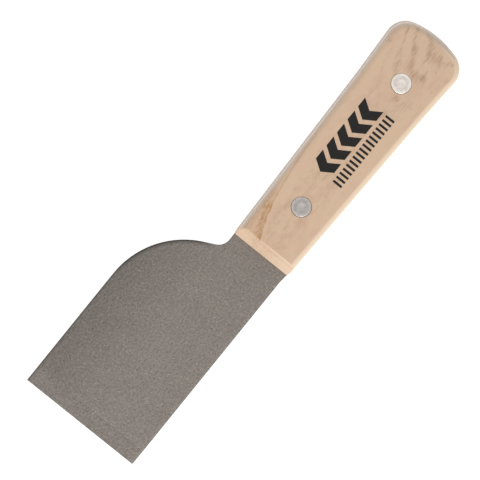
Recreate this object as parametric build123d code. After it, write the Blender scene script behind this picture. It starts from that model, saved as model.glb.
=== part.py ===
from build123d import *
import math
import os

# Floor scraper: a flat steel blade whose tang runs the full length of the handle,
# held between two wooden scales by two pressed rivets.
#
# Millimetres. +X runs from the scraping edge to the butt of the handle, +Y to the side
# where the blade is wider than the handle, and +Z up through the face with the ground
# bevel. The origin is the middle of the handle's underside, on which the tool lies.

# Whole tool
overall_length = 232.4      # scraping edge to the tip of the butt
handle_length = 123.9
handle_thickness = 18.0     # over both scales
steel_thickness = 1.6

# Blade
blade_width = 60.0
neck_length = 7.5           # from the handle to the corner under the shoulder, before its fillet
shoulder_angle = 63.5       # degrees between the shoulder's flank and the handle's axis
flank_straight = 5.8        # straight stretch of the flank, between its two curves
neck_fillet = 6.0
straight_side_step = 0.5    # the straight side lies this far inside the handle's
straight_side_lead = 6.0    # and comes out to it over this length, just before the handle
tip_radius = 0.5
bevel_width = 7.75          # ground on the upper face only
edge_thickness = 0.4        # left at the scraping edge

# Handle outline
front_width = 29.8          # also across the steel there
flare_length = 33.0         # from the tip of the butt to where the sides open out
flare_width = 34.7          # across the handle there
flare_radius = 300.0        # softens the change of direction
butt_width = 37.6           # across the corners of the butt, before they are rounded
butt_crown = 4.6            # how far the butt's curve stands out beyond those corners
butt_corner_radius = 9.6
edge_round = 3.0            # round-over along the outer edges of both scales
chamfer_length = 5.0        # slope at the front of each scale, along the handle
chamfer_depth = 5.2

# Rivets: a stud pressed into a tubular socket, each with a flat head let into its scale
front_rivet_inset = 27.8    # from the handle's front
rear_rivet_inset = 25.9     # from the tip of the butt
head_diameter = 9.3
head_thickness = 1.2
head_edge_break = 0.25
head_clearance = 0.25       # round the head, in its counterbore
head_sink = 0.1             # below the face of the scale
dimple_diameter = 2.6
dimple_depth = 0.3
tube_diameter = 5.0
tube_clearance = 0.1        # round the tube, in the scales and the tang
stud_diameter = 3.2
stud_bore = stud_diameter   # the socket closes on the stud when the two are pressed together
stud_end_gap = 0.5          # between the stud's end and the floor of the bore
bore_floor = 1.0            # metal left between that floor and the head's seat
tube_end_gap = 0.6          # between the tube's end and the stud's head

# What follows from them
handle_front = -handle_length / 2
handle_butt = handle_length / 2
edge_x = handle_butt - overall_length
scale_thickness = (handle_thickness - steel_thickness) / 2
tang_top = scale_thickness + steel_thickness
seat_depth = head_thickness + head_sink
seat_span = handle_thickness - 2 * seat_depth
rivet_places = {
    "front": handle_front + front_rivet_inset,
    "rear": handle_butt - rear_rivet_inset,
}


def vertices_at(face, points):
    """The face's own vertices that lie at the given points."""
    return [face.vertices().sort_by_distance((x, y, 0))[0] for x, y in points]


def handle_outline():
    """Plan of the handle: tapered sides that flare towards a rounded butt."""
    flare_x = handle_butt - flare_length
    corner_x = handle_butt - butt_crown
    front = [(handle_front, -front_width / 2), (handle_front, front_width / 2)]
    flares = [(flare_x, flare_width / 2), (flare_x, -flare_width / 2)]
    corners = [(corner_x, butt_width / 2), (corner_x, -butt_width / 2)]
    sides = Polyline(corners[1], flares[1], *front, flares[0], corners[0])
    butt = ThreePointArc(corners[0], (handle_butt, 0), corners[1])
    face = make_face(sides + butt)
    face = fillet(vertices_at(face, corners), butt_corner_radius)
    return fillet(vertices_at(face, flares), flare_radius)


def blade_outline():
    """Plan of the steel in front of the handle: straight on one side, shouldered on the other."""
    straight_side = straight_side_step - front_width / 2
    wide_side = straight_side + blade_width
    turn = math.radians(shoulder_angle)
    step = wide_side - front_width / 2
    flank_foot = (handle_front - neck_length, front_width / 2)
    flank_top = (flank_foot[0] - step / math.tan(turn), wide_side)
    tips = [(edge_x, straight_side), (edge_x, wide_side)]
    face = make_face(Polyline(
        *tips, flank_top, flank_foot, (handle_front, front_width / 2), (handle_front, -front_width / 2),
        (handle_front - straight_side_lead, straight_side), close=True))

    # The shoulder's round takes what the straight stretch and the neck's fillet leave of the flank.
    flank_length = step / math.sin(turn)
    fillet_run = neck_fillet * math.tan(turn / 2)
    shoulder_radius = (flank_length - flank_straight - fillet_run) / math.tan(turn / 2)
    face = fillet(vertices_at(face, [flank_top]), shoulder_radius)
    face = fillet(vertices_at(face, [flank_foot]), neck_fillet)
    return fillet(vertices_at(face, tips), tip_radius)


def at_rivets(tool):
    """A copy of a cutting tool on each rivet's axis."""
    return [Pos(x, 0, 0) * tool for x in rivet_places.values()]


def rod(radius, bottom, top):
    """A cylinder on the Z axis between two heights."""
    return Pos(0, 0, bottom) * Cylinder(radius, top - bottom, align=(Align.CENTER, Align.CENTER, Align.MIN))


def blade():
    """Blade and full tang in one plate, ground to an edge on its upper face."""
    outline = blade_outline() + handle_outline()
    plate = extrude(Pos(0, 0, scale_thickness) * outline, steel_thickness)
    bevel = Plane.XZ * Polygon(
        (edge_x, tang_top), (edge_x, scale_thickness + edge_thickness), (edge_x + bevel_width, tang_top),
        align=None)
    plate -= extrude(bevel, blade_width, both=True)
    return plate - at_rivets(rod(tube_diameter / 2 + tube_clearance, 0, handle_thickness))


def bottom_scale():
    """Lower half of the handle: rounded outer edges, a sloped front and two counterbored holes."""
    scale = extrude(handle_outline(), scale_thickness)
    rim = scale.faces().sort_by(Axis.Z)[0].edges().sort_by(Axis.X)[1:]
    scale = fillet(rim, edge_round)
    slope = Plane.XZ * Polygon(
        (handle_front, 0), (handle_front + chamfer_length, 0), (handle_front, chamfer_depth), align=None)
    scale -= extrude(slope, front_width, both=True)
    scale -= at_rivets(rod(head_diameter / 2 + head_clearance, 0, seat_depth))
    return scale - at_rivets(rod(tube_diameter / 2 + tube_clearance, 0, scale_thickness))


def top_scale():
    """Upper half of the handle, the lower one turned over about the steel's middle plane."""
    return mirror(bottom_scale(), about=Plane.XY.offset(handle_thickness / 2))


def head(seat, direction):
    """A rivet's flat head from its seat outwards, its rim broken and its middle dimpled."""
    disc = rod(head_diameter / 2, 0, head_thickness)
    disc = chamfer(disc.edges().sort_by(Axis.Z)[-1], head_edge_break)
    disc -= Pos(0, 0, head_thickness - dimple_depth) * Cone(
        dimple_diameter / 4, dimple_diameter / 2, dimple_depth, align=(Align.CENTER, Align.CENTER, Align.MIN))
    turned = disc if direction > 0 else mirror(disc, about=Plane.XY)
    return Pos(0, 0, seat) * turned


def rivet_stud():
    """Upper half of a rivet: a head on a plain stud that points down."""
    seat = seat_depth + seat_span
    end = seat_depth + bore_floor + stud_end_gap
    return head(seat, 1) + rod(stud_diameter / 2, end, seat)


def rivet_socket():
    """Lower half of a rivet: a head on a tube that takes the stud."""
    tube = rod(tube_diameter / 2, seat_depth, seat_depth + seat_span - tube_end_gap)
    bore = rod(stud_bore / 2, seat_depth + bore_floor, handle_thickness)
    return head(seat_depth, -1) + tube - bore


parts = {
    "blade": blade(),
    "top_scale": top_scale(),
    "bottom_scale": bottom_scale(),
}
for name, x in rivet_places.items():
    parts[f"{name}_rivet_stud"] = Pos(x, 0, 0) * rivet_stud()
    parts[f"{name}_rivet_socket"] = Pos(x, 0, 0) * rivet_socket()

os.makedirs("parts", exist_ok=True)
for name, part in parts.items():
    export_step(part, f"parts/{name}.step")
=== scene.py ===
import math

import bmesh
import bpy
import numpy as np
from bpy.props import FloatProperty, FloatVectorProperty, IntProperty, PointerProperty
from bpy.types import Operator, Panel, PropertyGroup, Scene
from mathutils import Matrix, Vector


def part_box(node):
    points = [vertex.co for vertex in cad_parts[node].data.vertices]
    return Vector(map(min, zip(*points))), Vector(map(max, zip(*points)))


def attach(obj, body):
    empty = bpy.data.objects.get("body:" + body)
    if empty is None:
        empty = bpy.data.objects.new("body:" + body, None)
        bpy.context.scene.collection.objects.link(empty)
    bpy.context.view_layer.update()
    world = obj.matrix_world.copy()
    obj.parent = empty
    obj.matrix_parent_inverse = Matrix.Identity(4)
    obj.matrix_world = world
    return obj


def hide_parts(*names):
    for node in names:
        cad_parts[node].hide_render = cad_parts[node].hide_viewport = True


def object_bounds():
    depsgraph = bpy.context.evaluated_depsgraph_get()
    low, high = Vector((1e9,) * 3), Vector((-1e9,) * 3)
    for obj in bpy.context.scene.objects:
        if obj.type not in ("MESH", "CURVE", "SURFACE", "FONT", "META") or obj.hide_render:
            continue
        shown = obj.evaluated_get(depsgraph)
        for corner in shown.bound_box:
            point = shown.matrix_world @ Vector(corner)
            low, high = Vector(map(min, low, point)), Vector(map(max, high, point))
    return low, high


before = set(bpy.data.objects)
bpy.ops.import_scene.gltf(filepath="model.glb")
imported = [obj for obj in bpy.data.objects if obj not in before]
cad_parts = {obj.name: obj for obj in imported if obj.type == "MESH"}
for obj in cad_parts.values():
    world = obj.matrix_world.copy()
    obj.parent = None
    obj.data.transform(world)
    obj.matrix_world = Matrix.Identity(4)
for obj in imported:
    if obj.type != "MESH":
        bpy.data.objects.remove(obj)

bl_info = {
    "name": "Floor Scraper",
    "version": (1, 0, 0),
    "blender": (4, 5, 0),
    "location": "3D View > Sidebar > Scraper",
    "description": "Finishes a riveted floor scraper: blade, wooden scales, rivets and printed mark",
    "category": "Add Mesh",
}

MM = 0.001
CAD_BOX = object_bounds()
BLADE_LOW, BLADE_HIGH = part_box("blade")
UPPER_LOW, UPPER_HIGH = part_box("top_scale")
LOWER_LOW, LOWER_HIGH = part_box("bottom_scale")
RIVETS = ("front", "rear")


# ---------------------------------------------------------------- settings

def length(name, description, millimetres):
    """A length property whose default is given in millimetres."""
    return FloatProperty(
        name=name, description=description, default=millimetres * MM, unit="LENGTH", precision=5)


def colour(name, description, value):
    """A colour property."""
    return FloatVectorProperty(
        name=name, description=description, default=value, subtype="COLOR", min=0, max=1)


def angle(name, description, degrees):
    """An angle property whose default is given in degrees."""
    return FloatProperty(name=name, description=description, default=math.radians(degrees), unit="ROTATION")


def number(name, description, value):
    """A plain number."""
    return FloatProperty(name=name, description=description, default=value)


class HandleSettings(PropertyGroup):
    """Outline and edges of the two scales, which the tang shares."""

    front_width: length("Front width", "Width of the handle at its front, and of the steel there", 29.8)
    flare_length: length("Flare length", "From the tip of the butt to where the sides open out", 33.0)
    flare_width: length("Flare width", "Width of the handle where its sides open out", 34.7)
    flare_radius: length("Flare radius", "Softens the change of direction of the sides", 300.0)
    butt_width: length("Butt width", "Across the corners of the butt, before they are rounded", 37.6)
    butt_crown: length("Butt crown", "How far the butt's curve stands out beyond those corners", 4.6)
    corner_radius: length("Butt corner radius", "Radius of the two corners of the butt", 9.6)
    edge_round: length("Edge round-over", "Radius along the outer edges of each scale", 3.0)
    chamfer_length: length("Chamfer length", "Slope at the front, along the handle", 5.0)
    chamfer_depth: length("Chamfer depth", "Slope at the front, down the scale", 5.2)
    crest_round: length("Crest round", "Radius of the sanded crest of that slope", 1.2)
    front_corner: length("Front corner", "Radius of the scale's two front corners", 0.4)
    seam_break: length("Seam break", "Edge broken where a scale meets the steel", 0.1)
    rim_break: length("Rim break", "Wear round the mouth of each counterbore", 0.12)
    head_clearance: length("Head clearance", "Gap round a rivet's head in its counterbore", 0.05)
    tube_clearance: length("Tube clearance", "Gap round a rivet's tube in scales and tang", 0.1)


class WoodSettings(PropertyGroup):
    """Colours and figure of the handle's wood."""

    pale: colour("Pale wood", "Colour of the plain wood", (0.68, 0.485, 0.335))
    brown: colour("Ring wood", "Colour of the darker growth rings", (0.42, 0.265, 0.165))
    rosy: colour("Rosy wood", "Colour of the warm patches", (0.64, 0.42, 0.30))
    # Painted light: the paler colour of the edges that face the key light.
    edge_light: colour("Sanded wood", "Colour of the freshly sanded edges", (0.77, 0.60, 0.44))
    # Painted shade: the greyer colour of the edges that face away from the key light.
    edge_shade: colour("Handled wood", "Colour of the greyed edges", (0.54, 0.48, 0.425))
    streak: colour("Streak", "Colour of the mineral streak at the front", (0.43, 0.215, 0.07))
    ring_gap: length("Ring spacing", "Between two growth rings", 3.4)
    pith_depth: length("Pith depth", "From the upper face down to the middle of the rings", 33.0)
    pith_offset: length("Pith offset", "From the handle's axis to the middle of the rings", -7.0)
    runout_start: length("Run-out start", "From the butt to where the rings start to run out", 34.0)
    runout: number("Run-out", "How fast the rings run out there", 0.28)


class BladeSettings(PropertyGroup):
    """Outline, bevel and finish of the steel."""

    width: length("Blade width", "Across the scraping edge", 60.0)
    neck_length: length("Neck length", "From the handle to the corner under the shoulder", 7.5)
    shoulder_angle: angle("Shoulder angle", "Between the shoulder's flank and the handle's axis", 63.5)
    flank_straight: length("Flank", "Straight stretch between the shoulder's two curves", 5.8)
    neck_fillet: length("Neck fillet", "Radius where the flank meets the neck", 6.0)
    side_lead: length("Side lead", "Length over which the straight side comes out to the handle's", 6.0)
    tip_radius: length("Tip radius", "Radius of the two ends of the scraping edge", 0.5)
    bevel_width: length("Bevel width", "Ground on the upper face only", 7.75)
    edge_thickness: length("Edge thickness", "Left at the scraping edge", 0.4)
    edge_roll: length("Edge roll", "Radius rolled along the stamped edges", 0.25)
    steel: colour("Steel", "Colour of the blasted faces", (0.28, 0.248, 0.222))
    sheared: colour("Sheared steel", "Colour of the stamped edges", (0.10, 0.095, 0.088))


class RivetSettings(PropertyGroup):
    """Heads and shanks of the rivets."""

    head_thickness: length("Head thickness", "From the seat to the top of the head", 1.2)
    rim_round: length("Rim round", "Rounding of the head's rim", 0.45)
    dimple_radius: length("Dimple radius", "Radius of the hollow in the middle of a head", 2.2)
    dimple_depth: length("Dimple depth", "Depth of that hollow", 0.14)
    tube_radius: length("Tube radius", "Outside of the socket's tube", 2.5)
    stud_radius: length("Stud radius", "Outside of the stud, and inside of the tube", 1.6)
    bore_floor: length("Bore floor", "Metal between the head's seat and the bottom of the bore", 1.0)
    bright: colour("Bright metal", "Colour of the heads at the butt, polished in use", (1.0, 0.90, 0.83))
    dull: colour("Dull metal", "Colour of the heads near the blade", (0.57, 0.53, 0.505))
    bright_roughness: number("Bright roughness", "Roughness of the polished heads", 0.34)
    dull_roughness: number("Dull roughness", "Roughness of the dull heads", 0.42)


class MarkSettings(PropertyGroup):
    """Printed mark: a band of chevrons over a row of ticks."""

    start: length("Start", "From the front rivet's axis to the start of the mark", 17.4)
    chevron_base: length("Chevron base", "Lower edge of the chevrons, off the handle's axis", -1.8)
    chevron_height: length("Chevron height", "Height of the chevrons", 10.4)
    chevron_width: length("Chevron thickness", "Thickness of one chevron, along the handle", 5.0)
    chevron_pitch: length("Chevron pitch", "From one chevron to the next", 7.4)
    chevron_point: length("Chevron point", "How far a chevron's point leads its arms", 3.4)
    chevrons: IntProperty(name="Chevrons", description="Number of chevrons", default=5)
    tick_base: length("Tick base", "Lower edge of the ticks, off the handle's axis", -8.4)
    tick_height: length("Tick height", "Height of the ticks", 4.8)
    tick_width: length("Tick thickness", "Thickness of one tick, along the handle", 1.1)
    tick_pitch: length("Tick pitch", "From one tick to the next", 2.3)
    ticks: IntProperty(name="Ticks", description="Number of ticks", default=17)
    film: length("Ink film", "Thickness of the ink over the wood", 0.03)
    ink: colour("Ink", "Colour of the print", (0.011, 0.010, 0.009))
    worn: colour("Worn ink", "Colour of the print where pores break it up", (0.12, 0.09, 0.07))


class StageSettings(PropertyGroup):
    """Floor, lights and camera."""

    lie: angle("Lie", "Angle of the handle's axis in the camera's view", 51.0)
    lean_back: angle("Lean to the butt", "How far the camera leans from upright towards the butt", 2.3)
    lean_side: angle("Lean to the side", "How far the camera leans from upright towards the shoulder", 5.1)
    aim_along: length("Aim along", "From the tool's middle to the point looked at, along the handle", -8.65)
    aim_across: length("Aim across", "The same, across the handle", -2.41)
    view_width: length("View width", "Width of the camera's view at the steel", 212.48)
    distance: length("Distance", "From the camera to the tool", 6000.0)
    floor: colour("Floor", "Colour of the floor", (0.3, 0.3, 0.3))
    floor_gap: length("Floor gap", "Between the handle and the floor, whose faces mustn't coincide", 0.05)
    floor_half: length("Floor half-width", "From the middle of the floor to its sides", 2000.0)
    floor_glow: number("Floor glow", "Strength of the light that the floor gives off", 0.92)
    sky: number("Sky", "Strength of the white light from all round", 0.72)
    key_side: FloatVectorProperty(
        name="Key side", description="Direction from the tool to the key light",
        default=(-0.68, -0.55, 0.5), subtype="DIRECTION")
    key_distance: length("Key distance", "From the tool to the key light", 1300.0)
    key_size: length("Key size", "Side of the square key light", 700.0)
    key_power: FloatProperty(
        name="Key power", description="Power of the key light", default=9.0, unit="POWER")


class ScraperSettings(PropertyGroup):
    """Everything that a user would change."""

    handle: PointerProperty(type=HandleSettings)
    wood: PointerProperty(type=WoodSettings)
    blade: PointerProperty(type=BladeSettings)
    rivets: PointerProperty(type=RivetSettings)
    mark: PointerProperty(type=MarkSettings)
    stage: PointerProperty(type=StageSettings)


# ---------------------------------------------------------------- outlines

def unit(vector):
    """The vector over its own length."""
    return vector / np.linalg.norm(vector)


def arc(centre, radius, start, end, count):
    """Points on a circle: its centre plus the radius times the cosine and sine of evenly spaced angles."""
    turn = np.linspace(start, end, count)
    return np.asarray(centre) + radius * np.stack([np.cos(turn), np.sin(turn)], axis=1)


def corner_arc(before, corner, after, radius, count):
    """The arc that rounds a corner: its centre is on the bisector, a radius from both lines."""
    corner = np.asarray(corner, float)
    towards, away = unit(before - corner), unit(after - corner)
    half = math.acos(towards @ away) / 2
    centre = corner + unit(towards + away) * radius / math.sin(half)
    first = corner + towards * radius / math.tan(half) - centre
    last = corner + away * radius / math.tan(half) - centre
    start = math.atan2(first[1], first[0])
    turn = math.atan2(first[0] * last[1] - first[1] * last[0], first @ last)
    return arc(centre, radius, start, start + turn, count)


def right_normals(points):
    """Unit normals to the right of an open line, from the slope between each point's neighbours."""
    slope = np.gradient(points, axis=0)
    slope /= np.linalg.norm(slope, axis=1, keepdims=True)
    return np.stack([slope[:, 1], -slope[:, 0]], axis=1)


def spread(first, last, count):
    """Evenly spaced points on the straight line between two points, both included."""
    share = np.linspace(0, 1, count)[:, None]
    return (1 - share) * np.asarray(first) + share * np.asarray(last)


class HandlePlan:
    """Plan of the handle's left half, from the middle of its front round to the tip of its butt."""

    FRONT_STEPS = 12
    CORNER_STEPS = 7
    SIDE_STEPS = 46
    BEND_STEPS = 12
    FLARE_STEPS = 10
    BUTT_CORNER_STEPS = 22
    BUTT_STEPS = 20
    SPLIT = 38          # the side point, between the rivets, where the two halves of a face meet

    def __init__(self, settings):
        self.front = UPPER_LOW.x
        butt = UPPER_HIGH.x
        self.half_front = settings.front_width / 2
        neck = np.array([self.front, self.half_front])
        flare = np.array([butt - settings.flare_length, settings.flare_width / 2])
        corner = np.array([butt - settings.butt_crown, settings.butt_width / 2])
        self.taper = (flare[1] - neck[1]) / (flare[0] - neck[0])

        # The butt's circle goes through both corners and the tip.
        radius = (corner[1] ** 2 + settings.butt_crown ** 2) / (2 * settings.butt_crown)
        centre = np.array([butt - radius, 0.0])

        # A corner's circle touches the flared side and, from inside, the butt's circle.
        small = settings.corner_radius
        along = unit(corner - flare)
        outward = np.array([-along[1], along[0]])
        rise = outward @ (flare - centre) - small
        small_centre = centre + outward * rise + along * math.sqrt((radius - small) ** 2 - rise ** 2)
        touch = math.atan2(small_centre[1] - centre[1], small_centre[0] - centre[0])

        bend = corner_arc(neck, flare, corner, settings.flare_radius, self.BEND_STEPS)
        self.tail = np.concatenate([
            bend,
            spread(bend[-1], small_centre + outward * small, self.FLARE_STEPS)[1:],
            arc(small_centre, small, math.atan2(outward[1], outward[0]), touch, self.BUTT_CORNER_STEPS)[1:],
            arc(centre, radius, touch, 0, self.BUTT_STEPS)[1:],
        ])
        self.tail_normals = right_normals(self.tail)
        self.tail_normals[-1] = (-1, 0)

    def half(self, setback=0.0, inset=0.0, corner=0.0):
        """The left half at one level: the front moved back, the sides moved in and the front corner rounded.

        In order: half the front line, the corner's quarter circle, the straight side, and then the
        flared side, butt corner and butt, moved in along their normals.
        """
        front = self.front + setback
        side = self.half_front + self.taper * setback - inset
        turn = arc((front + corner, side - corner), corner, math.pi, math.pi / 2, self.CORNER_STEPS)
        tail = self.tail + self.tail_normals * inset
        return np.concatenate([
            spread((front, 0), turn[0], self.FRONT_STEPS)[:-1],
            turn,
            spread(turn[-1], tail[0], self.SIDE_STEPS)[1:-1],
            tail,
        ])

    def loop(self, **level):
        """The whole outline at one level: the left half, then its mirror image back to the front."""
        half = self.half(**level)
        return np.concatenate([half, half[-2:0:-1] * (1, -1)])

    def parts(self, loop):
        """The closed loops round the front and the rear rivet: a whole one, cut between the rivets."""
        cut = self.SPLIT
        seam = spread(loop[cut], loop[-cut], 2 * self.FRONT_STEPS)[1:-1]
        front = np.concatenate([loop[:cut + 1], seam, loop[-cut:]])
        rear = np.concatenate([loop[cut:len(loop) - cut + 1], seam[::-1]])
        return front, rear


# ---------------------------------------------------------------- meshes

MERGE_DISTANCE = 0.002 * MM
SLIVER_LENGTH = 0.0001 * MM
CRISP_ANGLE = math.radians(32)
FAN = (0.0, 0.04, 0.2, 0.4, 0.6, 0.8, 0.96, 1.0)    # rows across a face, closer at both of its rims


def at_height(points, height):
    """Plan points lifted to a height, or to one height each."""
    height = np.broadcast_to(height, points.shape[:-1])
    return np.concatenate([points, height[..., None]], axis=-1)


def grid_faces(rows, columns, wrap, first):
    """Quads of a grid whose vertices are numbered row by row; wrap closes each row on itself."""
    number = first + np.arange(rows * columns).reshape(rows, columns)
    if wrap:
        number = np.concatenate([number, number[:, :1]], axis=1)
    corners = [number[:-1, :-1], number[:-1, 1:], number[1:, 1:], number[1:, :-1]]
    return np.stack(corners, axis=-1).reshape(-1, 4)


def make_piece(name, grids, material):
    """A piece from grids of points, each with rows, columns and a flag that closes its rows.

    Shared seams and poles are merged, faces are turned outwards, and sharp edges stay crisp.
    """
    points, faces, first = [], [], 0
    for grid, wrap in grids:
        rows, columns = grid.shape[:2]
        points.append(grid.reshape(-1, 3))
        faces.append(grid_faces(rows, columns, wrap, first))
        first += rows * columns
    mesh = bpy.data.meshes.new(name)
    mesh.from_pydata(np.concatenate(points).tolist(), [], np.concatenate(faces).tolist())
    work = bmesh.new()
    work.from_mesh(mesh)
    bmesh.ops.remove_doubles(work, verts=work.verts, dist=MERGE_DISTANCE)
    bmesh.ops.dissolve_degenerate(work, edges=work.edges, dist=SLIVER_LENGTH)
    bmesh.ops.recalc_face_normals(work, faces=work.faces)
    open_edges = sum(not edge.is_manifold for edge in work.edges)
    work.to_mesh(mesh)
    work.free()
    if open_edges:
        raise RuntimeError(f"{name} isn't closed: {open_edges} edges have one face or more than two")
    mesh.shade_smooth()
    mesh.set_sharp_from_angle(angle=CRISP_ANGLE)
    mesh.materials.append(material)
    piece = bpy.data.objects.new(name, mesh)
    bpy.context.scene.collection.objects.link(piece)
    return piece


def ride_and_replace(piece, slot, *nodes):
    """Puts a piece on the tool's one body and in place of its CAD nodes; the slot is not used."""
    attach(piece, "root")
    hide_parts(*nodes)


def rivet_axis(rivet):
    """Plan position of a rivet's axis and the radius of its head."""
    low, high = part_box(f"{rivet}_rivet_stud")
    return np.array([(low.x + high.x) / 2, 0.0]), (high.x - low.x) / 2


def blend_loops(first, last, shares):
    """Rows of points between two loops, each a share of the way from the first to the last."""
    share = np.asarray(shares)[:, None, None]
    return (1 - share) * first + share * last


def ring_round(centre, radius, loop):
    """The circle's points that lie in the directions of a loop's points from the circle's centre."""
    direction = loop - centre
    return centre + radius * direction / np.linalg.norm(direction, axis=1, keepdims=True)


# ---------------------------------------------------------------- shader maths

class Signal:
    """A node's output. Arithmetic on it adds Math nodes, so that shader maths reads as an expression."""

    def __init__(self, paint, socket):
        self.paint = paint
        self.socket = socket

    def math(self, operation, first, second=0.0, third=0.0):
        """The Math node that does one operation."""
        return self.paint.node("ShaderNodeMath", {"operation": operation}, {0: first, 1: second, 2: third})

    def __add__(self, other):
        return self.math("ADD", self, other)

    def __sub__(self, other):
        return self.math("SUBTRACT", self, other)

    def __rsub__(self, other):
        return self.math("SUBTRACT", other, self)

    def __mul__(self, other):
        return self.math("MULTIPLY", self, other)

    def __truediv__(self, other):
        return self.math("DIVIDE", self, other)

    def __pow__(self, other):
        return self.math("POWER", self, other)

    def __abs__(self):
        return self.math("ABSOLUTE", self)

    __radd__ = __add__
    __rmul__ = __mul__


class Paint:
    """The nodes of one material, with the shader that they feed."""

    def __init__(self, name, **constants):
        self.material = bpy.data.materials.new(name)
        self.material.use_nodes = True
        self.tree = self.material.node_tree
        self.tree.nodes.clear()
        self.shader = self.node("ShaderNodeBsdfPrincipled", {}, constants)
        self.node("ShaderNodeOutputMaterial", {}, {"Surface": self.shader})
        place = self.node("ShaderNodeTexCoord", {}, {}, "Object")
        self.millimetres = self.vector("SCALE", place, scale=1 / MM)
        self.x, self.y, self.z = (
            self.node("ShaderNodeSeparateXYZ", {}, {0: self.millimetres}, axis) for axis in "XYZ")

    def node(self, kind, settings, sockets, output=0):
        """Adds a node of a type: its settings first, then its sockets' values or links."""
        node = self.tree.nodes.new(kind)
        for name, value in settings.items():
            setattr(node, name, value)
        for name, value in sockets.items():
            if isinstance(value, Signal):
                self.tree.links.new(value.socket, node.inputs[name])
            elif hasattr(node.inputs[name], "default_value"):
                node.inputs[name].default_value = value
        return Signal(self, node.outputs[output]) if node.outputs else None

    def feed(self, **links):
        """Links what varies to the shader's sockets, named with underscores for spaces."""
        shader = self.shader.socket.node
        for name, value in links.items():
            self.tree.links.new(value.socket, shader.inputs[name.replace("_", " ")])

    def vector(self, operation, first, second=(0, 0, 0), scale=1.0):
        """One Vector Math operation."""
        return self.node("ShaderNodeVectorMath", {"operation": operation}, {0: first, 1: second, 3: scale})

    def noise(self, size, detail=2.0, roughness=0.5, warp=0.0, shift=0.0):
        """Noise from 0 to 1 whose blotches have a size in millimetres along each axis."""
        inverse = tuple(1 / side for side in size)
        places = {0: self.millimetres, 1: inverse, 2: (shift, shift, shift)}
        spot = self.node("ShaderNodeVectorMath", {"operation": "MULTIPLY_ADD"}, places)
        sockets = {"Vector": spot, "Scale": 1.0, "Detail": detail, "Roughness": roughness, "Distortion": warp}
        return self.node("ShaderNodeTexNoise", {}, sockets)

    def ramp(self, value, low, high):
        """Smooth step: 0 below low, 1 above high."""
        sockets = {"Value": value, "From Min": low, "From Max": high}
        return self.node("ShaderNodeMapRange", {"interpolation_type": "SMOOTHSTEP"}, sockets)

    def mix(self, share, first, second, blend="MIX"):
        """Mixes two colours."""
        settings = {"data_type": "RGBA", "blend_type": blend}
        sockets = {0: share, 6: self.opaque(first), 7: self.opaque(second)}
        return self.node("ShaderNodeMix", settings, sockets, 2)

    @staticmethod
    def opaque(tint):
        """A colour with its alpha, or a link as it is."""
        return tint if isinstance(tint, Signal) else (*tint, 1)

    def tinted(self, tint, gain):
        """A colour times a number."""
        grey = self.node("ShaderNodeCombineColor", {}, {0: gain, 1: gain, 2: gain})
        return self.mix(1.0, tint, grey, "MULTIPLY")

    def bump(self, height, depth):
        """A normal from a height between 0 and 1 whose full swing is a depth in metres."""
        return self.node("ShaderNodeBump", {}, {"Strength": 1.0, "Distance": depth, "Height": height})


# ---------------------------------------------------------------- blade

# Points along each stretch of the steel's left side
TIP_STEPS = 7
BEVEL_STEPS = 6
EDGE_STEPS = 20
SHOULDER_STEPS = 46
FLANK_STEPS = 4
FILLET_STEPS = 16
NECK_STEPS = 4


def shoulder_circle(handle, blade):
    """Centre and radius of the shoulder's arc, which takes what the flank's straight and the fillet leave."""
    half_neck, wide = handle.front_width / 2, BLADE_HIGH.y
    slope = blade.shoulder_angle
    flank = (wide - half_neck) / math.sin(slope)
    fillet_run = blade.neck_fillet * math.tan(slope / 2)
    run = flank - blade.flank_straight - fillet_run
    radius = run / math.tan(slope / 2)
    top = UPPER_LOW.x - blade.neck_length - (wide - half_neck) / math.tan(slope)
    return np.array([top - run, wide - radius]), radius


def blade_sides(handle, blade):
    """Left and right outline of the steel ahead of the handle, at the same stations along it.

    The left one is the tip's arc, a straight side, the shoulder's arc, a straight flank, the neck's
    fillet and the neck. The right one is straight but for its tip, the left tip's mirror image, and
    its last stretch, which comes out to the handle with the square of the way along it.
    """
    front, edge = UPPER_LOW.x, BLADE_LOW.x
    half_neck, wide = handle.front_width / 2, BLADE_HIGH.y
    slope = blade.shoulder_angle
    foot = np.array([front - blade.neck_length, half_neck])
    top = np.array([foot[0] - (wide - half_neck) / math.tan(slope), wide])
    radius = shoulder_circle(handle, blade)[1]
    tip_centre = (edge + blade.tip_radius, wide - blade.tip_radius)
    tip = arc(tip_centre, blade.tip_radius, math.pi, math.pi / 2, TIP_STEPS)
    shoulder = corner_arc(np.array([edge, wide]), top, foot, radius, SHOULDER_STEPS)
    fillet = corner_arc(top, foot, np.array([front, half_neck]), blade.neck_fillet, FILLET_STEPS)
    crease = np.array([edge + blade.bevel_width, wide])
    root = np.array([front - blade.edge_roll, half_neck])
    left = np.concatenate([
        tip,
        spread(tip[-1], crease, BEVEL_STEPS)[1:],
        spread(crease, shoulder[0], EDGE_STEPS)[1:],
        shoulder[1:],
        spread(shoulder[-1], fillet[0], FLANK_STEPS)[1:],
        fillet[1:],
        spread(fillet[-1], root, NECK_STEPS)[1:],
        [(front, half_neck)],
    ])
    straight = wide - blade.width
    lead = np.clip((left[:, 0] - front) / blade.side_lead + 1, 0, 1)
    right = np.stack([left[:, 0], straight - (straight + half_neck) * lead ** 2], axis=1)
    right[:len(tip), 1] += wide - tip[:, 1]
    return left, right


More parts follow.
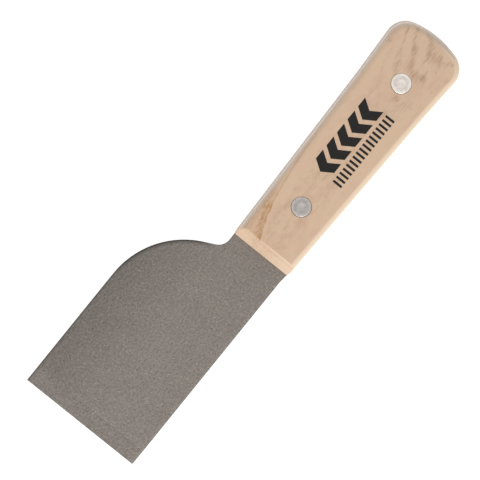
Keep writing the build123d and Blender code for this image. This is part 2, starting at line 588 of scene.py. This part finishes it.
def blade_body(handle, blade):
    """The steel ahead of the handle, as rows of closed cross-sections from the scraping edge back.

    A section's points are the two sides, rolled in by a quarter circle at each edge, and even steps
    across the faces. The upper face drops in a straight line over the bevel.
    """
    left, right = blade_sides(handle, blade)
    low, high = BLADE_LOW.z, BLADE_HIGH.z
    edge = BLADE_LOW.x

    def top_at(x):
        rise = (high - low - blade.edge_thickness) / blade.bevel_width
        return np.minimum(high, low + blade.edge_thickness + (x - edge) * rise)

    thickness = top_at(left[:, 0]) - low
    roll = np.minimum(blade.edge_roll, 0.3 * thickness)
    roll[-1] = 0
    turn = np.linspace(0, math.pi / 2, 5)
    inset = roll[:, None] * (1 - np.sin(turn))
    drop = roll[:, None] * (1 - np.cos(turn))
    left_edge = left[:, None] + right_normals(left)[:, None] * inset[..., None]
    right_edge = right[:, None] - right_normals(right)[:, None] * inset[..., None]
    share = np.linspace(0, 1, 2 * HandlePlan.FRONT_STEPS - 1)[1:-1, None]
    across = (1 - share) * left_edge[:, None, 0] + share * right_edge[:, None, 0]

    def upper(points, fall):
        return at_height(points, top_at(points[..., 0]) - fall)

    def lower(points, lift):
        return at_height(points, low + lift)

    rows = np.concatenate([
        upper(across, 0),
        upper(right_edge, drop),
        lower(right_edge, drop)[:, ::-1],
        lower(across, 0)[:, ::-1],
        lower(left_edge, drop),
        upper(left_edge, drop)[:, ::-1],
    ], axis=1)
    cap = rows[:1].copy()
    cap[..., 2] = low + blade.edge_thickness / 2
    return np.concatenate([cap, rows])


def tang_grids(plan, handle, rivets):
    """The tang: its side all round but for the front, and each rivet's half of its two faces.

    A half runs from the outline in to the rivet's hole, down through it and out again.
    """
    outline = plan.loop()
    low, high = BLADE_LOW.z, BLADE_HIGH.z
    start = plan.FRONT_STEPS - 1
    side = outline[start:len(outline) - start + 1]
    grids = [(np.stack([at_height(side, low), at_height(side, high)]), False)]
    for rivet, loop in zip(RIVETS, plan.parts(outline)):
        centre = rivet_axis(rivet)[0]
        hole = ring_round(centre, rivets.tube_radius + handle.tube_clearance, loop)
        face = blend_loops(loop, hole, FAN)
        grids.append((np.concatenate([at_height(face, high), at_height(face, low)[::-1]]), True))
    return grids


def steel_paint(handle, blade):
    """Blasted steel: grain with bright and dark specks, a ground bevel, painted shade towards the shoulder's
    side, and a painted shade line along the shoulder's edge with a darker band inside it.
    """
    paint = Paint("blasted_steel", Metallic=0.85, Roughness=0.6)
    x, y = paint.x, paint.y
    edge, wide, neck = BLADE_LOW.x / MM, BLADE_HIGH.y / MM, handle.front_width / MM / 2
    grain = paint.noise((0.9, 0.9, 0.9), detail=2, roughness=0.6)
    cloud = paint.noise((9, 9, 9), detail=3, shift=3.7)
    speck = paint.noise((0.95, 0.95, 0.95), detail=0, shift=11.3)
    bright = paint.ramp(speck, 0.70, 0.80)
    dark = paint.ramp(1 - speck, 0.70, 0.80)
    # Painted shade: off the bevel, the faces get darker across the blade towards the shoulder's side.
    across = paint.ramp(y, neck - 4, wide)
    crease, sole = edge + blade.bevel_width / MM, BLADE_LOW.z / MM
    ground = (1 - paint.ramp(x, crease - 0.2, crease + 0.2)) * paint.ramp(paint.z, sole + 0.05, sole + 0.3)
    tone = 1.02 + (grain - 0.5) * 1.05 + (cloud - 0.5) * 0.14 + bright * 0.16 - dark * 0.16
    tone = tone - across * (1 - ground) * 0.21 - ground * 0.18

    # How far inside the left side and the shoulder's arc a point lies, which share one circle's centre.
    middle, radius = shoulder_circle(handle, blade)
    ahead = x.math("MAXIMUM", x - middle[0] / MM, 0.0)
    aside = y.math("MAXIMUM", y - middle[1] / MM, 0.0)
    inside = radius / MM - (ahead * ahead + aside * aside) ** 0.5
    before_flank = 1 - paint.ramp(ahead, radius / MM * 0.86, radius / MM * 0.95)
    # A painted shade line along the shoulder's rolled edge, and a wider darkening band inside it; both fade
    # out before the flank.
    line = (1 - paint.ramp(inside, 0.3, 0.9)) * 0.34
    shade = (1 - paint.ramp(inside, 0.2, 2.4)) * paint.ramp(ahead, 1.0, 8.0) * 0.3
    tone = tone * (1 - (line + shade) * before_flank)

    half = (BLADE_HIGH.z - BLADE_LOW.z) / MM / 2
    level = (BLADE_HIGH.z + BLADE_LOW.z) / MM / 2
    wall = 1 - paint.ramp(abs(paint.z - level), half - 0.12, half - 0.02)
    colour = paint.tinted(blade.steel, tone)
    colour = paint.mix(wall * (1 - ground) * 0.8, colour, tuple(blade.sheared))
    paint.feed(Base_Color=colour, Roughness=0.55 + (grain - 0.5) * 0.5)
    paint.feed(Normal=paint.bump(grain + bright * 0.4, 0.12 * MM))
    return paint.material


class SCRAPER_OT_blade(Operator):
    """Makes the blade and its tang in one plate"""

    bl_idname = "scraper.blade"
    bl_label = "Blade"

    def execute(self, context):
        settings = context.scene.scraper
        plan = HandlePlan(settings.handle)
        body = blade_body(settings.handle, settings.blade)
        grids = [(body, True), *tang_grids(plan, settings.handle, settings.rivets)]
        piece = make_piece("steel_blade", grids, steel_paint(settings.handle, settings.blade))
        ride_and_replace(piece, "blade_steel", "blade")
        return {"FINISHED"}


# ---------------------------------------------------------------- scales

def front_setback(height, handle):
    """How far back the front lies at a height above the steel: upright, then sloped, then a rounded crest.

    The crest is a circle that touches the slope's line and the flat face.
    """
    thickness = UPPER_HIGH.z - UPPER_LOW.z
    foot = thickness - handle.chamfer_depth
    slope = math.atan2(handle.chamfer_depth, handle.chamfer_length)
    straight = np.maximum(0, (height - foot) * handle.chamfer_length / handle.chamfer_depth)
    radius = handle.crest_round
    below = np.clip(thickness - height, 0, radius)
    touch = handle.chamfer_length + radius * math.tan(slope / 2)
    crest = touch - np.sqrt(radius ** 2 - (radius - below) ** 2)
    return np.where(below < radius * (1 - math.cos(slope)), crest, straight)


def scale_levels(handle):
    """Heights above the steel, with the side's inset and the front's setback at each.

    The sides go up from a broken edge at the seam and then in round a quarter circle.
    """
    thickness = UPPER_HIGH.z - UPPER_LOW.z
    spring = thickness - handle.edge_round
    foot = thickness - handle.chamfer_depth
    turn = np.linspace(0, math.pi / 2, 15)
    height = np.concatenate([
        [0, handle.seam_break], spread([foot / 2], [foot], 3)[:, 0], [(foot + spring) / 2],
        spring + handle.edge_round * np.sin(turn)])
    inset = np.concatenate([[handle.seam_break], np.zeros(5), handle.edge_round * (1 - np.cos(turn))])
    setback = front_setback(height, handle)
    setback[0] = handle.seam_break
    return zip(height, inset, setback)


def scale_grids(handle, rivets):
    """The upper scale: its edges as a stack of outlines, and each rivet's half of its faces.

    A half runs from the upper outline in to the counterbore, down it, across its floor, down the
    rivet's hole and out to the lower outline.
    """
    plan = HandlePlan(handle)
    base, face = UPPER_LOW.z, UPPER_HIGH.z
    levels = [
        at_height(plan.loop(setback=setback, inset=inset, corner=handle.front_corner), base + height)
        for height, inset, setback in scale_levels(handle)]
    grids = [(np.stack(levels), True)]
    tops, bottoms = plan.parts(levels[-1][:, :2]), plan.parts(levels[0][:, :2])
    for rivet, top, bottom in zip(RIVETS, tops, bottoms):
        centre, head = rivet_axis(rivet)
        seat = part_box(f"{rivet}_rivet_stud")[1].z - rivets.head_thickness
        bore = head + handle.head_clearance
        hole = rivets.tube_radius + handle.tube_clearance
        mouth = ring_round(centre, bore + handle.rim_break, top)
        wall = ring_round(centre, bore, top)
        rows = [
            at_height(blend_loops(top, mouth, FAN), face),
            at_height(wall, face - handle.rim_break)[None],
            at_height(wall, seat)[None],
            at_height(ring_round(centre, hole, top), seat)[None],
            at_height(ring_round(centre, hole, bottom), base)[None],
            at_height(blend_loops(ring_round(centre, hole, bottom), bottom, FAN), base),
        ]
        grids.append((np.concatenate(rows), True))
    return grids


def growth_rings(paint, wood):
    """Late wood of the growth rings, from 0 to 1.

    The rings lie round a pith below the handle, which comes nearer towards the butt.
    """
    start = (UPPER_HIGH.x - wood.runout_start) / MM
    nearer = paint.x.math("SMOOTH_MAX", paint.x - start, 0.0, 8.0) * wood.runout
    below = paint.z - (UPPER_HIGH.z - wood.pith_depth) / MM - nearer
    aside = paint.y - wood.pith_offset / MM
    wobble = paint.noise((16, 6, 6), detail=2, shift=2.2)
    distance = (below * below + aside * aside) ** 0.5 + (wobble - 0.5) * 5.0
    phase = distance.math("FRACT", distance / (wood.ring_gap / MM))
    return paint.ramp(phase, 0.1, 0.6) * (1 - paint.ramp(phase, 0.6, 1.0))


def mineral_streak(paint, handle, fibre):
    """Share of the streak's colour: patchy at the front, then a thin line along the left edge.

    Its lower boundary rises from the crest's middle towards that edge.
    """
    y, z = paint.y, paint.z
    face = UPPER_HIGH.z / MM
    run = paint.x - (UPPER_LOW.x + handle.chamfer_length) / MM
    decay = paint.node("ShaderNodeMath", {"operation": "EXPONENT"}, {0: run / -17.7})
    ragged = (paint.noise((2.2, 1.1, 1.1), detail=3, roughness=0.7, shift=1.3) - 0.5) * 2.0
    past = y - (13.3 + run * 0.045 - decay * 8.7) + ragged
    early = 1 - paint.ramp(run, 12, 26)
    patch = paint.ramp(paint.noise((3.0, 1.3, 1.3), detail=3, roughness=0.7, shift=7.9), 0.36, 0.64)
    stained = paint.ramp(past, -0.1, 0.5) * (1 - paint.ramp(past, 1.8, 5.0) * 0.7)
    thread = paint.ramp(past, -0.1, 0.25) * (1 - paint.ramp(past, 0.3, 0.9))
    on_top = paint.ramp(z, face - 6.5, face - 3.0) * paint.ramp(run, -0.9, 0.1)
    body = stained * early * (0.27 + patch * 0.62) + thread * (1 - early * 0.6) * 0.42
    return body * on_top * (0.6 + fibre * 0.8)


def wood_paint(handle, wood):
    """Pale, straight-grained wood: fibres, warm patches, rings, a streak, and edges paler with painted light
    or greyer with painted shade.
    """
    paint = Paint("pale_wood", Roughness=0.5, IOR=1.5)
    x, y, z = paint.x, paint.y, paint.z
    butt, front = UPPER_HIGH.x / MM, UPPER_LOW.x / MM
    figure = paint.ramp(x, butt - 50, butt - 12)
    fibre = paint.noise((12, 0.9, 0.9), detail=2, roughness=0.6)
    stroke = paint.noise((3.2, 0.7, 0.7), detail=2, shift=5.1)
    mottle = paint.noise((4, 2.5, 2.5), detail=3, roughness=0.6, shift=9.4)
    blush = paint.noise((10, 6, 6), detail=3, roughness=0.6, shift=14.6)

    shade = (growth_rings(paint, wood) - 0.4) * (0.03 + figure * 0.5)
    shade = shade + (fibre - 0.5) * (0.35 + figure * 0.3) + (stroke - 0.5) * (0.25 + figure * 0.9)
    shade = shade + (mottle - 0.5) * 1.1 - paint.ramp(abs(y), 5, 11) * 0.26
    colour = paint.mix(paint.ramp(shade, -0.25, 0.75), tuple(wood.pale), tuple(wood.brown))
    warm = paint.ramp(blush, 0.42, 0.66) * (0.4 + figure * 0.3)
    colour = paint.mix(warm, colour, tuple(wood.rosy))
    colour = paint.mix(mineral_streak(paint, handle, fibre), colour, tuple(wood.streak))

    # Off the flat faces, painted light makes the front and right edges, which face the key light, paler, and
    # painted shade makes the left edge and the butt, which face away from it, greyer. Along the chamfer's
    # crest the painted light is weaker.
    half = (UPPER_HIGH.z - LOWER_LOW.z) / MM / 2
    depth = half - abs(z - (UPPER_HIGH.z + LOWER_LOW.z) / MM / 2)
    off_face = paint.ramp(depth, 0.005, 0.12)
    right = 1 - paint.ramp(y, -6, 4)
    sloped = 1 - paint.ramp(x, front + 4.6, front + 5.2)
    crest = 1 - paint.ramp(abs(x - front - 3.8), 0.25, 0.65)
    end = paint.ramp(x, butt - 3.2, butt - 0.6)
    # Painted light on the front and right edges, weaker along the crest.
    lit_share = right.math("MAXIMUM", right * 0.9, sloped * 0.42) * (1 - sloped * 0.55) * (1 - end) - crest * 0.3
    colour = paint.mix(off_face * lit_share, colour, tuple(wood.edge_light))
    # Painted shade on the left edge and the butt.
    grey = paint.ramp(depth, 0.05, 1.6) * (1 - right) * (1 - sloped)
    colour = paint.mix(grey.math("MAXIMUM", grey * 0.65, end * off_face * 0.7), colour, tuple(wood.edge_shade))
    paint.feed(Base_Color=colour, Roughness=0.46 + (stroke - 0.5) * 0.25)
    paint.feed(Normal=paint.bump(stroke * 0.6 + fibre * 0.4, 0.08 * MM))
    return paint.material


class SCRAPER_OT_scales(Operator):
    """Makes the two wooden scales"""

    bl_idname = "scraper.scales"
    bl_label = "Scales"

    def execute(self, context):
        settings = context.scene.scraper
        material = wood_paint(settings.handle, settings.wood)
        grids = scale_grids(settings.handle, settings.rivets)
        turned = [(grid * (1, 1, -1) + (0, 0, UPPER_HIGH.z + LOWER_LOW.z), wrap) for grid, wrap in grids]
        ride_and_replace(make_piece("upper_scale", grids, material), "handle_wood", "top_scale")
        ride_and_replace(make_piece("lower_scale", turned, material), "handle_wood", "bottom_scale")
        return {"FINISHED"}


# ---------------------------------------------------------------- rivets

def turned_grid(centre, profile, steps=96):
    """A surface of revolution: each profile point's radius carried round the rivet's axis, at its height."""
    turn = np.linspace(0, 2 * math.pi, steps, endpoint=False)
    radius, height = np.asarray(profile).T
    ring = np.stack([np.cos(turn), np.sin(turn)], axis=1)
    return at_height(centre + radius[:, None, None] * ring, height[:, None])


def head_profile(radius, rivets):
    """A head from its middle out, above its seat: a shallow hollow, a flat land and a quarter-round rim."""
    thickness, rim = rivets.head_thickness, rivets.rim_round
    share = np.linspace(0, 1, 9)
    hollow_radius = share * rivets.dimple_radius
    hollow = thickness - rivets.dimple_depth * np.cos(share * math.pi / 2) ** 2
    turn = np.linspace(0, math.pi / 2, 7)
    rim_radius = radius - rim + rim * np.sin(turn)
    rim_height = thickness - rim + rim * np.cos(turn)
    radii = np.concatenate([hollow_radius, rim_radius, [radius]])
    heights = np.concatenate([hollow, rim_height, [0]])
    return np.stack([radii, heights], axis=1)


def stud_profile(radius, top, end, rivets):
    """The upper half: its head, then a plain stud down to its end."""
    seat = top - rivets.head_thickness
    shank = [(rivets.stud_radius, seat), (rivets.stud_radius, end), (0, end)]
    return np.concatenate([head_profile(radius, rivets) + (0, seat), shank])


def socket_profile(radius, foot, rim, rivets):
    """The lower half: its head turned down, then a tube up to its rim and its bore down to the floor."""
    seat = foot + rivets.head_thickness
    floor = seat + rivets.bore_floor
    shank = [(rivets.tube_radius, seat), (rivets.tube_radius, rim), (rivets.stud_radius, rim),
             (rivets.stud_radius, floor), (0, floor)]
    return np.concatenate([head_profile(radius, rivets) * (1, -1) + (0, seat), shank])


def rivet_paint(name, tint, centre, roughness):
    """Pressed metal: rings turned about the axis, small dents, a slightly cloudy polish, a darker ring round
    the hollow and a painted highlight on the rim.
    """
    paint = Paint(name, Metallic=1.0, Roughness=roughness)
    aside_x, aside_y = paint.x - centre[0] / MM, paint.y - centre[1] / MM
    radius = (aside_x * aside_x + aside_y * aside_y) ** 0.5
    rings = radius.math("SINE", radius * 9.0)
    cloud = paint.noise((1.4, 1.4, 1.4), detail=3, shift=centre[0] / MM)
    dent = paint.noise((0.5, 0.5, 0.5), detail=2, shift=4.4)
    # Darker in a ring round the head's hollow; a painted highlight on the rim.
    hollow = 1 - paint.ramp(abs(radius - 2.6), 0.2, 0.9)
    rim = paint.ramp(radius, 3.2, 3.8)
    tone = 1.0 + (cloud - 0.5) * 0.5 - hollow * 0.13 + rim * 0.08 + rings * 0.02
    paint.feed(Base_Color=paint.tinted(tint, tone), Roughness=roughness + (cloud - 0.5) * 0.25)
    paint.feed(Normal=paint.bump(rings * 0.15 + dent * 0.7, 0.06 * MM))
    return paint.material


class SCRAPER_OT_rivets(Operator):
    """Makes both rivets, each a stud pressed into a socket"""

    bl_idname = "scraper.rivets"
    bl_label = "Rivets"

    def execute(self, context):
        rivets = context.scene.scraper.rivets
        finishes = {
            "front": (tuple(rivets.dull), rivets.dull_roughness),
            "rear": (tuple(rivets.bright), rivets.bright_roughness)}
        for rivet, (tint, roughness) in finishes.items():
            centre, radius = rivet_axis(rivet)
            material = rivet_paint(f"{rivet}_rivet_metal", tint, centre, roughness)
            stud_low, stud_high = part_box(f"{rivet}_rivet_stud")
            socket_low, socket_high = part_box(f"{rivet}_rivet_socket")
            stud = turned_grid(centre, stud_profile(radius, stud_high.z, stud_low.z, rivets))
            socket = turned_grid(centre, socket_profile(radius, socket_low.z, socket_high.z, rivets))
            for half, grid in {"stud": stud, "socket": socket}.items():
                piece = make_piece(f"{rivet}_{half}", [(grid, True)], material)
                ride_and_replace(piece, "rivet_metal", f"{rivet}_rivet_{half}")
        return {"FINISHED"}


# ---------------------------------------------------------------- printed mark

def ink_bar(path, width, low, high):
    """A flat bar of ink: a low, wide rectangle carried along a path in plan, closed at both ends.

    The rectangle reaches from the path along the handle by the bar's width.
    """
    corners = np.array([(0, low), (0, high), (width, high), (width, low)])
    rows = at_height(np.repeat(path[:, None], 4, axis=1), corners[:, 1])
    rows[..., 0] += corners[:, 0]
    ends = rows[[0, -1]].copy()
    ends[..., 2] = (low + high) / 2
    ends[..., 0] = rows[[0, -1]][..., 0].mean(axis=1, keepdims=True)
    return np.concatenate([ends[:1], rows, ends[1:]])


def mark_grids(mark):
    """Every bar of the mark: chevrons bent at half their height, and straight ticks."""
    start = rivet_axis("front")[0][0] + mark.start
    low, high = UPPER_HIGH.z - mark.film, UPPER_HIGH.z + mark.film
    share = np.array([0, 0.5, 1])
    lead = mark.chevron_point * abs(2 * share - 1)
    bend = np.stack([lead, mark.chevron_base + mark.chevron_height * share], axis=1)
    tick = spread((0, mark.tick_base), (0, mark.tick_base + mark.tick_height), 2)
    chevrons = [
        ink_bar(bend + (start + number * mark.chevron_pitch, 0), mark.chevron_width, low, high)
        for number in range(mark.chevrons)]
    ticks = [
        ink_bar(tick + (start + number * mark.tick_pitch, 0), mark.tick_width, low, high)
        for number in range(mark.ticks)]
    return [(bar, True) for bar in chevrons + ticks]


def ink_paint(mark):
    """Black ink that the wood's pores break up a little."""
    paint = Paint("black_ink", Roughness=0.5, IOR=1.35)
    pores = paint.noise((2.5, 0.3, 0.3), detail=2)
    worn = paint.ramp(pores, 0.62, 0.8)
    paint.feed(
        Base_Color=paint.mix(worn * 0.35, tuple(mark.ink), tuple(mark.worn)),
        Roughness=0.45 + pores * 0.2)
    return paint.material


class SCRAPER_OT_mark(Operator):
    """Prints the mark on the upper scale"""

    bl_idname = "scraper.mark"
    bl_label = "Printed Mark"

    def execute(self, context):
        mark = context.scene.scraper.mark
        piece = make_piece("printed_mark", mark_grids(mark), ink_paint(mark))
        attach(piece, "root")
        return {"FINISHED"}


# ---------------------------------------------------------------- stage

FLOOR_STEPS = 9


def soft_light(name, towards, distance, size, power):
    """A square area light in a direction from the tool, turned to face it."""
    lamp = bpy.data.lights.new(name, "AREA")
    lamp.size = size
    lamp.energy = power
    light = bpy.data.objects.new(name, lamp)
    direction = Vector(towards).normalized()
    light.location = tool_middle() + direction * distance
    light.rotation_euler = direction.to_track_quat("Z", "Y").to_euler()
    bpy.context.scene.collection.objects.link(light)


def tool_middle():
    """Middle of the CAD model's box."""
    low, high = CAD_BOX
    return (low + high) / 2


def look_down(stage):
    """The camera: nearly upright over the tool, turned so that the handle lies at an angle in its view."""
    away = Vector((math.tan(stage.lean_back), math.tan(stage.lean_side), 1)).normalized()
    along = (Vector((1, 0, 0)) - away * away.x).normalized()
    across = away.cross(along)
    right = math.cos(stage.lie) * along - math.sin(stage.lie) * across
    up = away.cross(right)
    target = tool_middle() + Vector((stage.aim_along, stage.aim_across, 0))
    lens = bpy.data.cameras.new("camera")
    lens.lens = lens.sensor_width * stage.distance / stage.view_width
    lens.clip_end = 2 * stage.distance
    camera = bpy.data.objects.new("camera", lens)
    turn = Matrix((right, up, away)).transposed().to_4x4()
    camera.matrix_world = Matrix.Translation(target + away * stage.distance) @ turn
    bpy.context.scene.collection.objects.link(camera)
    bpy.context.scene.camera = camera


def glowing_floor(stage):
    """A flat square under the tool, slightly mottled, which gives off white light of its own."""
    paint = Paint("floor", Roughness=0.9)
    paint.feed(Base_Color=paint.tinted(tuple(stage.floor), 1.0 + paint.noise((80, 80, 80)) * 0.01))
    glow = paint.shader.socket.node
    glow.inputs["Emission Color"].default_value = (1, 1, 1, 1)
    glow.inputs["Emission Strength"].default_value = stage.floor_glow
    across = np.linspace(-stage.floor_half, stage.floor_half, FLOOR_STEPS)
    plan = np.stack(np.meshgrid(across, across), axis=-1)
    points = at_height(plan, CAD_BOX[0].z - stage.floor_gap).reshape(-1, 3)
    mesh = bpy.data.meshes.new("floor")
    mesh.from_pydata(points.tolist(), [], grid_faces(FLOOR_STEPS, FLOOR_STEPS, False, 0).tolist())
    mesh.materials.append(paint.material)
    floor = bpy.data.objects.new("floor", mesh)
    bpy.context.scene.collection.objects.link(floor)


def white_world(strength):
    """White light from all round."""
    world = bpy.data.worlds.new("studio")
    world.use_nodes = True
    sky = world.node_tree.nodes["Background"]
    sky.inputs["Color"].default_value = (1, 1, 1, 1)
    sky.inputs["Strength"].default_value = strength
    bpy.context.scene.world = world


class SCRAPER_OT_stage(Operator):
    """Sets the floor, the lights and the camera"""

    bl_idname = "scraper.stage"
    bl_label = "Stage"

    def execute(self, context):
        stage = context.scene.scraper.stage
        glowing_floor(stage)
        white_world(stage.sky)
        soft_light("key", stage.key_side, stage.key_distance, stage.key_size, stage.key_power)
        look_down(stage)
        context.scene.view_settings.view_transform = "Standard"
        return {"FINISHED"}


# ---------------------------------------------------------------- panel and main

STEPS = (SCRAPER_OT_stage, SCRAPER_OT_blade, SCRAPER_OT_scales, SCRAPER_OT_rivets, SCRAPER_OT_mark)
SETTINGS = (
    HandleSettings, WoodSettings, BladeSettings, RivetSettings, MarkSettings, StageSettings, ScraperSettings)


class SCRAPER_PT_panel(Panel):
    """Lists the scraper's settings and the operators that make its pieces"""

    bl_idname = "SCRAPER_PT_panel"
    bl_label = "Floor Scraper"
    bl_space_type = "VIEW_3D"
    bl_region_type = "UI"
    bl_category = "Scraper"

    def draw(self, context):
        settings = context.scene.scraper
        for step in STEPS:
            self.layout.operator(step.bl_idname)
        for group in ("handle", "wood", "blade", "rivets", "mark", "stage"):
            box = self.layout.box()
            box.label(text=group.title())
            values = getattr(settings, group)
            for name in values.__annotations__:
                box.prop(values, name)


def register():
    for group in (*SETTINGS, *STEPS, SCRAPER_PT_panel):
        bpy.utils.register_class(group)
    Scene.scraper = PointerProperty(type=ScraperSettings)


def unregister():
    del Scene.scraper
    for group in reversed((*SETTINGS, *STEPS, SCRAPER_PT_panel)):
        bpy.utils.unregister_class(group)


def main():
    """Makes every piece and the stage."""
    register()
    bpy.ops.scraper.stage()
    bpy.ops.scraper.blade()
    bpy.ops.scraper.scales()
    bpy.ops.scraper.rivets()
    bpy.ops.scraper.mark()


if __name__ == "__main__":
    main()
